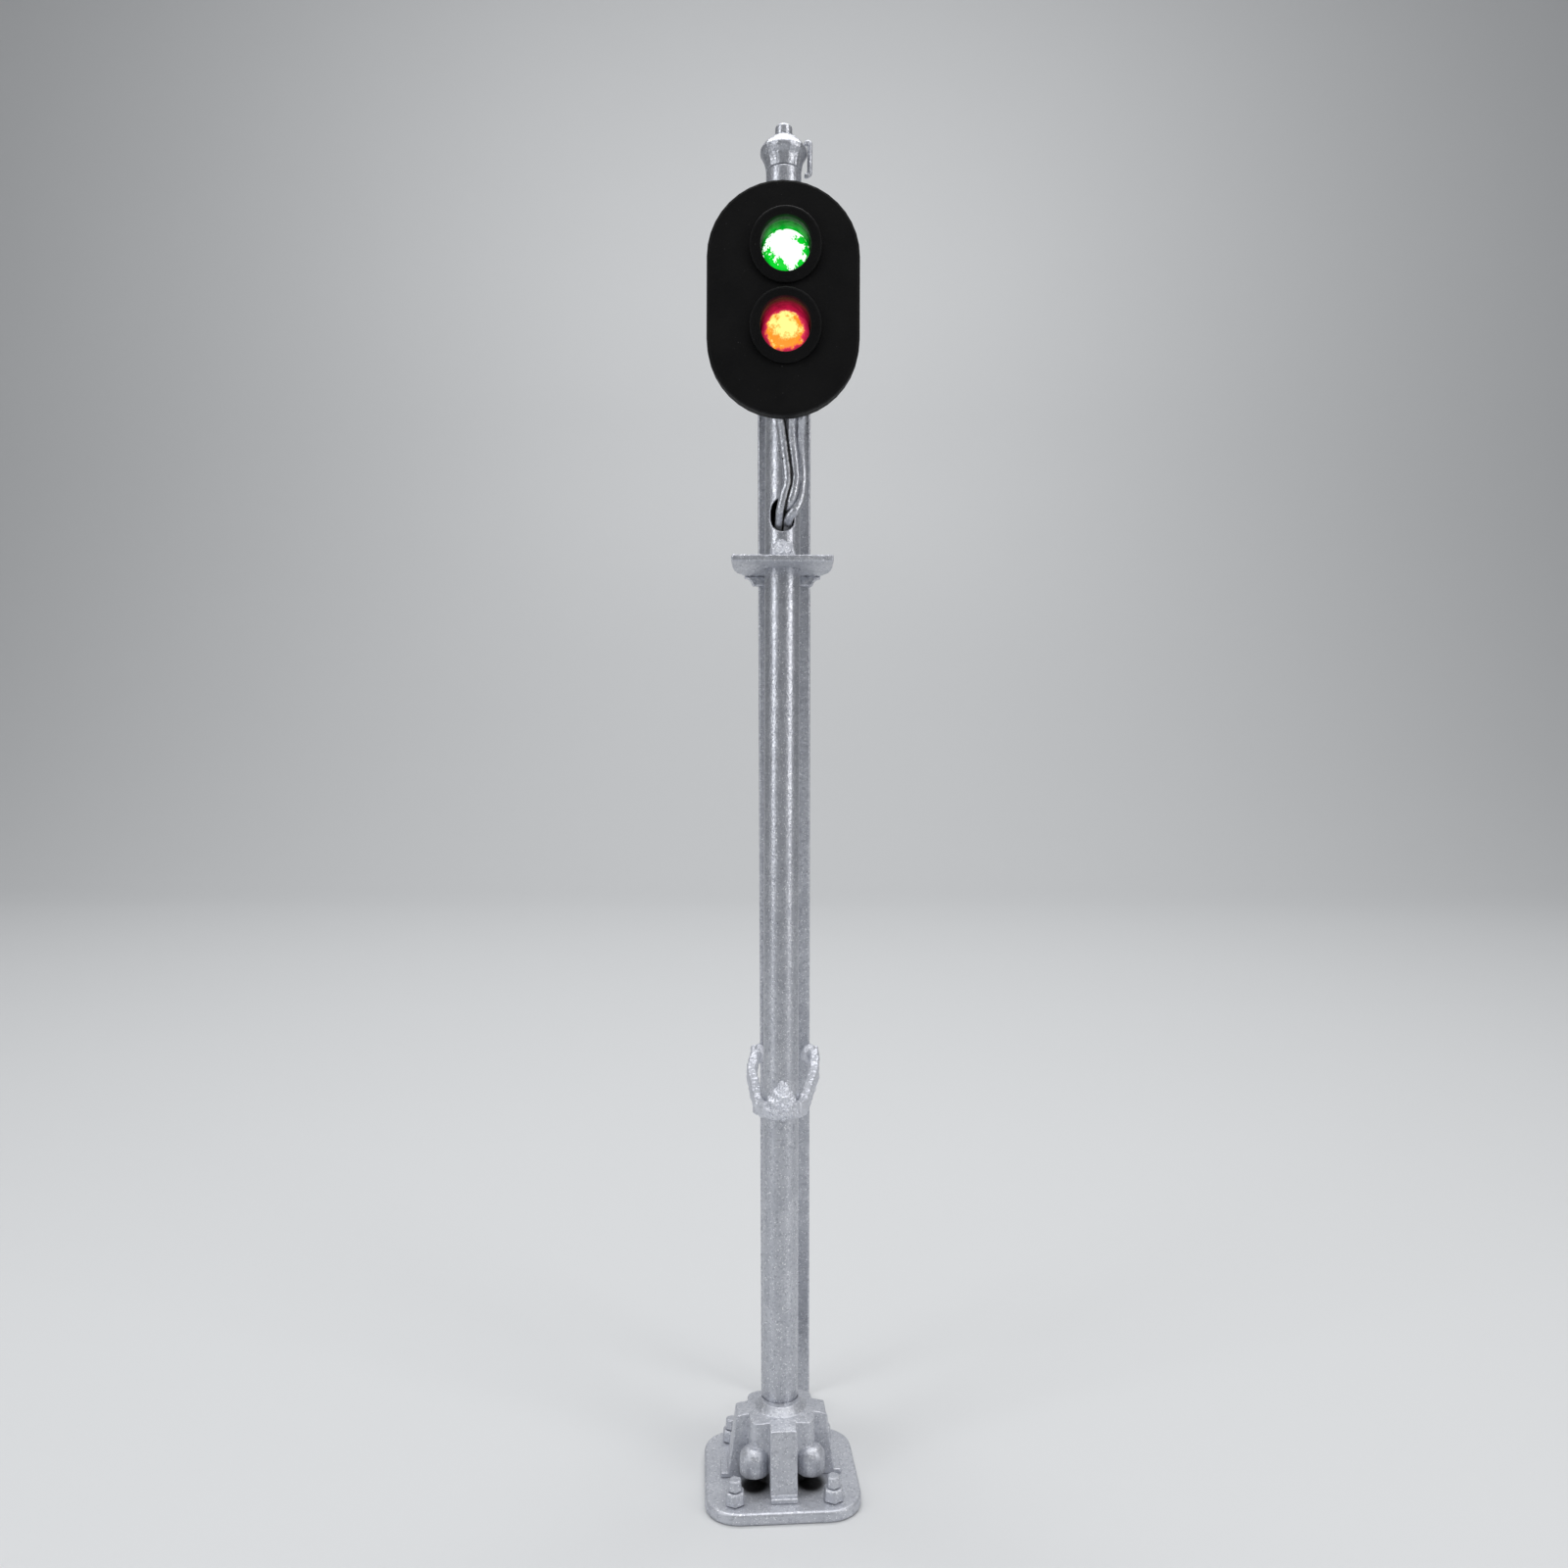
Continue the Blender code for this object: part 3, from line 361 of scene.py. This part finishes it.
def hollow_shade(nodes):
    """How much the silver paint is darkened, most in the four hollows under the pedestal's hoods: painted
    shade, with the paint partly absent there too.
    """
    reached = 1.0
    for centre in hood_centres():
        away = nodes.add("ShaderNodeVectorMath", {0: nodes.place(centre)}, operation="LENGTH")
        clear = nodes.spread(away.outputs["Value"], HOLLOW_DARK, HOLLOW_CLEAR, smooth=True)
        reached = nodes.math("MULTIPLY", clear, reached)
    return nodes.math("SUBTRACT", 1.0, reached)


def from_axis(nodes, where, axes):
    """How far a point is from an axis, in millimetres, measured along the two other axes."""
    parts = nodes.add("ShaderNodeSeparateXYZ", {0: where}).outputs
    flat = nodes.add("ShaderNodeCombineXYZ", {axis: parts[axis] for axis in axes}).outputs[0]
    return nodes.add("ShaderNodeVectorMath", {0: flat}, operation="LENGTH").outputs["Value"]


def from_mast_axis(nodes):
    return from_axis(nodes, nodes.place(middle_of("mast_tube")), (0, 1))


def bore_shade(nodes):
    """How much the silver paint is darkened inside the mast's bore: all of it, as painted shade, with the
    inside partly unpainted too.
    """
    return nodes.spread(from_mast_axis(nodes), *BORE_EDGE, 1.0, 0.0)


def sprayed(nodes, coarse=1.0, bright=0.0, satin=0.0):
    """Sprayed silver paint as a colour, a roughness and a normal: metal flakes over an orange peel."""
    where = nodes.place()
    flakes = nodes.cells(where, FLAKE_SIZE)
    fine = nodes.cells(where, FINE_SIZE)
    patches = nodes.noise(where, PATCH_SIZE, detail=3.0)
    tone = nodes.mix(nodes.spread(patches, *PATCH_LIMITS), SILVER_LOW, SILVER_HIGH)
    tone = nodes.mix(nodes.spread(flakes, *DARK_FLAKES), SILVER_DARK_FLAKE, tone)
    colour = nodes.mix(nodes.spread(fine, *BRIGHT_FLAKES), tone, SILVER_BRIGHT_FLAKE)
    if bright:
        colour = nodes.mix(bright, colour, PALE_SILVER)
    roughness = nodes.spread(flakes, 0.0, 1.0, *(limit + satin for limit in SILVER_ROUGHNESS))
    normal = nodes.bump(flakes, FLAKE_DEPTH * coarse)
    normal = nodes.bump(nodes.noise(where, GRAIN_SIZE, detail=1.0), GRAIN_DEPTH * coarse, normal)
    return colour, roughness, nodes.bump(nodes.noise(where, PEEL_SIZE), PEEL_DEPTH * coarse, normal)


def silver_paint(name="silver_paint", unpainted_and_shade=None, coarse=1.0, bright=0.0, satin=0.0):
    """Sprayed silver paint, turned near black where the paint is absent and where shade is painted in."""
    nodes = Nodes(name)
    colour, roughness, normal = sprayed(nodes, coarse, bright, satin)
    metallic = SILVER_METALLIC - PALE_METALLIC_LOSS * bright - satin
    if unpainted_and_shade is not None:
        dark = unpainted_and_shade(nodes)
        colour = nodes.mix(dark, colour, BARE_METAL_AND_SHADE)
        metallic = nodes.spread(dark, 0.0, 1.0, metallic, 0.0)
    return nodes.set(Base_Color=colour, Metallic=metallic, Roughness=roughness, Normal=normal)


def painted_lead(name="painted_lead", crease=False):
    """The same paint on soft insulation, black inside the mast and where worn; with crease, the right flank
    is painted black as shade in the crease between the leads, partly unpainted there too.
    """
    nodes = Nodes(name)
    colour, roughness, normal = sprayed(nodes)
    bare_and_shade = nodes.spread(from_mast_axis(nodes), *LEAD_INSIDE_MAST, 1.0, 0.0)
    uneven = nodes.noise(nodes.place(), LEAD_WEAR_SIZE, detail=4.0, roughness=LEAD_WEAR_ROUGHNESS)
    bare_and_shade = nodes.math("MAXIMUM", bare_and_shade, nodes.spread(uneven, *LEAD_WEAR))
    # Painted shade: the flank that faces right is darkened for the crease between the leads, where the paint
    # is partly absent too
    if crease:
        facing = nodes.add("ShaderNodeNewGeometry").outputs["Normal"]
        right = nodes.add("ShaderNodeSeparateXYZ", {0: facing}).outputs[0]
        bare_and_shade = nodes.math("MAXIMUM", bare_and_shade, nodes.spread(right, *LEAD_CREASE))
    colour = nodes.mix(bare_and_shade, colour, BARE_INSULATION_AND_SHADE)
    metallic = nodes.spread(bare_and_shade, 0.0, 1.0, LEAD_METALLIC, 0.0)
    return nodes.set(Base_Color=colour, Metallic=metallic, Roughness=roughness, Normal=normal)


def wall_glow(nodes, where):
    """Each lamp's light on the walls of its bore and visor, strongest near the lamp and above its axis."""
    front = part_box("visor_green")[0].y * PER_MM
    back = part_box("target_plate")[1].y * PER_MM
    depth = nodes.add("ShaderNodeSeparateXYZ", {0: where}).outputs[1]
    reach = nodes.spread(depth, front + GLOW_START, back, GLOW_AT_FRONT, 1.0)
    reach = nodes.math("MULTIPLY", reach, nodes.spread(depth, back - GLOW_END, back, 1.0, 0.0))
    patches = nodes.noise(where, GLOW_PATCH, detail=3.0)
    uneven = nodes.spread(patches, *GLOW_PATCH_LIMITS, *GLOW_PATCH_SHARE)
    glow = NO_GLOW
    for lamp, light in WALL_GLOW.items():
        from_lamp = nodes.place(middle_of(lamp))
        wall = nodes.spread(from_axis(nodes, from_lamp, (0, 2)), *WALL_RADIUS, 1.0, 0.0)
        up = nodes.add("ShaderNodeSeparateXYZ", {0: from_lamp}).outputs[2]
        wall = nodes.math("MULTIPLY", wall, nodes.spread(up, *GLOW_HEIGHT, GLOW_BELOW, 1.0))
        share = nodes.math("MULTIPLY", nodes.math("MULTIPLY", wall, reach), uneven, clamp=True)
        glow = nodes.mix(share, glow, light)
    return glow


def black_plastic():
    """Matt black with a faint grain; the walls round each lamp glow with its light."""
    nodes = Nodes("black_plastic")
    where = nodes.place()
    grain = nodes.noise(where, BLACK_GRAIN, detail=3.0)
    specks = nodes.spread(nodes.noise(where, SPECK_SIZE, detail=1.0), *SPECK_LIMITS)
    tone = nodes.spread(nodes.noise(where, BLACK_PATCH), *PATCH_LIMITS)
    colour = nodes.mix(specks, nodes.mix(tone, BLACK_LOW, BLACK_HIGH), SPECK_COLOUR)
    nodes.set(Emission_Color=wall_glow(nodes, where), Emission_Strength=1.0)
    nodes.set(Specular_IOR_Level=BLACK_SPECULAR)
    roughness = nodes.spread(grain, *BLACK_GRAIN_LIMITS, *BLACK_ROUGHNESS)
    return nodes.set(Base_Color=colour, Roughness=roughness, Normal=nodes.bump(grain, BLACK_GRAIN_DEPTH))


def tinned_wire():
    nodes = Nodes("tinned_wire")
    streaks = nodes.noise(nodes.place(), STREAK_SIZE, detail=3.0)
    colour = nodes.mix(streaks, WIRE_LOW, WIRE_HIGH)
    roughness = nodes.spread(streaks, 0, 1, *WIRE_ROUGHNESS)
    return nodes.set(Base_Color=colour, Metallic=1.0, Roughness=roughness)


def lamp_spot(nodes, lamp, spot):
    """1 inside a ragged round spot on a lamp, seen from the front, and 0 outside it."""
    right, up, raggedness, noise_size, inner, outer = spot
    where = nodes.place(middle_of(lamp) + Vector((right, 0, up)) * MM)
    uneven = nodes.noise(where, noise_size, detail=4.0, roughness=RAGGED_ROUGHNESS)
    ragged = nodes.spread(uneven, *RAGGED_LIMITS, -raggedness, raggedness)
    away = nodes.math("ADD", from_axis(nodes, where, (0, 2)), ragged)
    return nodes.spread(away, inner, outer, 1.0, 0.0)


def lit_resin(nodes, colour, strength, body):
    """Sets a lamp's own light and its gloss."""
    nodes.set(Emission_Color=colour, Emission_Strength=strength)
    patches = nodes.noise(nodes.place(), RESIN_PATCH)
    roughness = nodes.spread(patches, *RESIN_LIMITS, *RESIN_ROUGHNESS)
    return nodes.set(Base_Color=body, Roughness=roughness)


def green_lamp():
    """Lit green resin with a ragged white-hot core that lies a little up and right of the middle."""
    nodes = Nodes("green_lamp")
    core = lamp_spot(nodes, "lamp_green", GREEN_CORE)
    surround = nodes.mix(lamp_spot(nodes, "lamp_green", GREEN_SURROUND), GREEN_RIM, GREEN_LIT)
    colour = nodes.mix(core, surround, GREEN_WHITE)
    return lit_resin(nodes, colour, nodes.spread(core, 0, 1, *GREEN_STRENGTH), GREEN_BODY)


def red_lamp():
    """Lit red resin: a lumpy disc, yellow in the middle and orange round it, in a crimson surround."""
    nodes = Nodes("red_lamp")
    disc = lamp_spot(nodes, "lamp_red", RED_DISC)
    surround = nodes.mix(lamp_spot(nodes, "lamp_red", RED_SURROUND), RED_RIM, RED_LIT)
    warm = nodes.mix(lamp_spot(nodes, "lamp_red", RED_CORE), RED_ORANGE, RED_YELLOW)
    colour = nodes.mix(disc, surround, warm)
    return lit_resin(nodes, colour, nodes.spread(disc, 0, 1, *RED_STRENGTH), RED_BODY)


def floor_material():
    nodes = Nodes("floor")
    tone = nodes.noise(nodes.place(), FLOOR_PATCH)
    colour = nodes.mix(tone, tuple(share * FLOOR_SHADE for share in FLOOR_COLOUR), FLOOR_COLOUR)
    return nodes.set(Base_Color=colour, Roughness=FLOOR_ROUGHNESS)


# ---------------------------------------------------------------- pieces


def show_as(piece, material, *nodes):
    """Gives a piece its material and its place in the frame, where it stands for these nodes."""
    piece.data.materials.clear()
    piece.data.materials.append(material)
    bpy.context.scene.collection.objects.link(piece)
    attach(piece, "root")
    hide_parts(*nodes)
    return piece


def mesh_of(name, shape):
    mesh = bpy.data.meshes.new(name)
    shape.to_mesh(mesh)
    shape.free()
    return mesh


def solid_in_mm(node):
    """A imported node's solid as a welded shape, scaled to millimetres for the remesher."""
    shape = bmesh.new()
    shape.from_mesh(frame["nodes"][node].data)
    bmesh.ops.scale(shape, vec=(PER_MM,) * 3, verts=shape.verts)
    bmesh.ops.remove_doubles(shape, verts=shape.verts, dist=WELD_DISTANCE)
    return shape


def lumpy(mesh, height, size, grow):
    """Moves each point along its normal by smooth noise and a growth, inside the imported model's box."""
    count = len(mesh.vertices)
    points = np.empty(count * 3)
    normals = np.empty(count * 3)
    mesh.vertices.foreach_get("co", points)
    mesh.vertex_normals.foreach_get("vector", normals)
    points = points.reshape(-1, 3)
    depth = np.array([noise.fractal(Vector(point) / size, 1.0, 2.0, LUMP_OCTAVES) for point in points])
    points += normals.reshape(-1, 3) * (depth * height + grow)[:, None]
    low, high = (np.array(corner) * PER_MM for corner in CAD_BOX)
    mesh.vertices.foreach_set("co", np.clip(points, low, high).ravel())


def cells_of(name, mesh, cell, passes):
    """A mesh in millimetres remade in small cells, with its edges eased as paint eases them."""
    rough = bpy.data.objects.new(name + "_rough", mesh)
    bpy.context.scene.collection.objects.link(rough)
    remesh = rough.modifiers.new("cells", "REMESH")
    remesh.mode = "VOXEL"
    remesh.voxel_size = cell
    ease = rough.modifiers.new("ease", "SMOOTH")
    ease.factor = EASE_FACTOR
    ease.iterations = passes
    graph = bpy.context.evaluated_depsgraph_get()
    made = bpy.data.meshes.new_from_object(rough.evaluated_get(graph))
    bpy.data.objects.remove(rough)
    return made


def finished(node, suffix, mesh, material):
    """Brings a mesh back to metres and shows it for its node."""
    mesh.transform(Matrix.Scale(MM, 4))
    mesh.shade_smooth()
    mesh.name = node + suffix
    return show_as(bpy.data.objects.new(node + suffix, mesh), material, node)


def refine(node, material, cell, passes, height, size, grow):
    """A finer piece that stands for a node, with any solder that belongs to it."""
    shape = solid_in_mm(node)
    for centre, radii in solder_on(node):
        where = Matrix.Translation(centre) @ Matrix.Diagonal((*radii, 1))
        bmesh.ops.create_uvsphere(
            shape, u_segments=SOLDER_SEGMENTS, v_segments=SOLDER_RINGS, radius=1.0, matrix=where
        )
    mesh = cells_of(node, mesh_of(node + "_solid", shape), cell, passes)
    lumpy(mesh, height, size, grow)
    return finished(node, "_fine", mesh, material)


def solder_on(node):
    """Solder on the brace's ends, where they hold the ladder's rails: (centre, radii), in millimetres."""
    if node != "brace_strap":
        return ()
    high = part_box("brace_strap")[1] * PER_MM
    blobs = []
    for rail, side, radii in SOLDER:
        across = middle_of(f"ladder_rail_{rail}").x * PER_MM + side * SOLDER_OUT
        blobs.append((Vector((across, high.y - SOLDER_IN_FRONT, high.z - SOLDER_BELOW)), radii))
    return blobs


def make_glue_heap(material):
    """A rough heap of glue over the brace's front, from the strap's lower edge up the mast."""
    axis = middle_of("mast_tube") * PER_MM
    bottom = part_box("brace_strap")[0].z * PER_MM - HEAP_BELOW_BRACE
    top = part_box("brace_glue_bead")[1].z * PER_MM + HEAP_ABOVE_BEAD
    shape = bmesh.new()
    bmesh.ops.create_uvsphere(shape, u_segments=HEAP_SEGMENTS, v_segments=HEAP_RINGS, radius=1.0)
    for vertex in shape.verts:
        x, y, z = vertex.co
        up = (z + 1) / 2
        taper = HEAP_FOOT_TAPER - HEAP_TAPER_LOSS * up
        vertex.co = (
            axis.x + HEAP_LEAN * up + HEAP_HALF_WIDE * taper * x,
            axis.y - HEAP_IN_FRONT + HEAP_HALF_DEEP * taper * y,
            bottom + (top - bottom) * up,
        )
    mesh = cells_of("glue_heap", mesh_of("glue_heap_solid", shape), HEAP_CELL, HEAP_PASSES)
    for height, size in HEAP_LUMPS:
        lumpy(mesh, height, size, 0.0)
    return finished("brace_glue_bead", "_fine", mesh, material)


def make_lens(node, material):
    """A lamp of uneven resin: a lumpy dome turned on the lamp's axis, which faces the front."""
    low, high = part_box(node)
    centre = (low + high) / 2
    radius = (high.x - low.x) / 2 * LENS_RADIUS
    deep = high.y - low.y
    shape = bmesh.new()
    bmesh.ops.create_uvsphere(shape, u_segments=LENS_SEGMENTS, v_segments=LENS_RINGS, radius=1.0)
    for vertex in shape.verts:
        x, y, z = vertex.co
        lump = noise.fractal(Vector((x, y, z)) * (radius / LENS_LUMP_SIZE), 1.0, 2.0, LENS_OCTAVES)
        out = min(1 + lump * LENS_LUMP_HEIGHT / radius, 1.0)
        reach = deep * (LENS_MIDDLE if y < 0 else LENS_BACK)
        vertex.co = (
            centre.x + radius * x * out,
            low.y + LENS_MIDDLE * deep + reach * y * out,
            centre.z + radius * z * out,
        )
    mesh = mesh_of(node + "_lens", shape)
    mesh.shade_smooth()
    return show_as(bpy.data.objects.new(node + "_lens", mesh), material, node)


# ---------------------------------------------------------------- studio


def make_floor():
    """A pale floor that curves up into a backdrop a good way behind the object."""
    bend = [
        (BACKDROP_START + BACKDROP_CURVE * math.sin(a), BACKDROP_CURVE * (1 - math.cos(a)))
        for a in (math.radians(90) * i / FLOOR_BEND_STEPS for i in range(FLOOR_BEND_STEPS + 1))
    ]
    profile = [(FLOOR_FRONT, 0.0), *bend, (BACKDROP_START + BACKDROP_CURVE, BACKDROP_TALL)]
    shape = bmesh.new()
    rows = [[shape.verts.new((x, y, z)) for y, z in profile] for x in (-FLOOR_HALF, FLOOR_HALF)]
    for i in range(len(profile) - 1):
        shape.faces.new((rows[0][i], rows[1][i], rows[1][i + 1], rows[0][i + 1]))
    mesh = mesh_of("floor", shape)
    mesh.shade_smooth()
    mesh.materials.append(floor_material())
    floor = bpy.data.objects.new("floor", mesh)
    bpy.context.scene.collection.objects.link(floor)


def make_light(name, location, target, wide, tall, power, colour):
    light = bpy.data.lights.new(name, "AREA")
    light.shape = "RECTANGLE"
    light.size = wide
    light.size_y = tall
    light.energy = power
    light.color = colour
    lamp = bpy.data.objects.new(name, light)
    lamp.location = location
    lamp.rotation_euler = (Vector(target) - Vector(location)).to_track_quat("-Z", "Y").to_euler()
    bpy.context.scene.collection.objects.link(lamp)


def make_studio():
    make_floor()
    for light in LIGHTS:
        make_light(*light)
    world = bpy.data.worlds.new("studio")
    world.use_nodes = True
    backing = world.node_tree.nodes["Background"]
    backing.inputs["Color"].default_value = (*WORLD_COLOUR, 1.0)
    backing.inputs["Strength"].default_value = WORLD_STRENGTH
    bpy.context.scene.world = world


def make_camera():
    axis = middle_of("mast_tube")
    camera = bpy.data.objects.new("camera", bpy.data.cameras.new("camera"))
    camera.data.lens = CAMERA_LENS
    camera.data.sensor_width = CAMERA_SENSOR
    camera.data.clip_start = CAMERA_NEAR
    place = Matrix.Translation((axis.x, axis.y - CAMERA_BACK, CAMERA_HEIGHT))
    level = Matrix.Rotation(math.radians(90), 4, "X")
    camera.matrix_world = (
        place @ Matrix.Rotation(CAMERA_YAW, 4, "Z") @ level @ Matrix.Rotation(CAMERA_ROLL, 4, "Z")
    )
    bpy.context.scene.collection.objects.link(camera)
    bpy.context.scene.camera = camera


# ---------------------------------------------------------------- main


def main():
    make_camera()
    make_studio()
    finishes = {
        "silver_paint": silver_paint(),
        "painted_lead": painted_lead(),
        "black_plastic": black_plastic(),
        "tinned_wire": tinned_wire(),
        "green_lamp": green_lamp(),
        "red_lamp": red_lamp(),
    }
    for node, solid in frame["nodes"].items():
        solid.data.materials.clear()
        solid.data.materials.append(finishes[SLOT_OF[node]])
    # The pedestal's and base plate's paint carries painted shade in the hollows under the hoods; the mast's
    # carries painted shade in its bore
    hollow_shaded = silver_paint("silver_paint_hollows", hollow_shade, **CAST)
    bolted = silver_paint("silver_paint_cast", **CAST)
    rough = silver_paint("silver_paint_rough", **ROUGH)
    glue = silver_paint("silver_paint_glue", **GLUE)
    special = {
        "mast_tube": silver_paint("silver_paint_mast", bore_shade),
        "lead_common": painted_lead("painted_lead_crease", crease=True),
        "pedestal": hollow_shaded,
        "base_plate": hollow_shaded,
        "platform_glue_bead": glue,
        "platform_plate": rough,
        "finial_hook": rough,
        "brace_strap": silver_paint("silver_paint_pale", **PALE),
        **dict.fromkeys(NUTS + BOLTS, bolted),
    }
    for nodes, *measures in REFINED:
        for node in nodes:
            refine(node, special.get(node, finishes[SLOT_OF[node]]), *measures)
    make_glue_heap(glue)
    for node in LAMPS:
        make_lens(node, finishes[SLOT_OF[node]])
    bpy.context.scene.view_settings.view_transform = "Standard"


main()
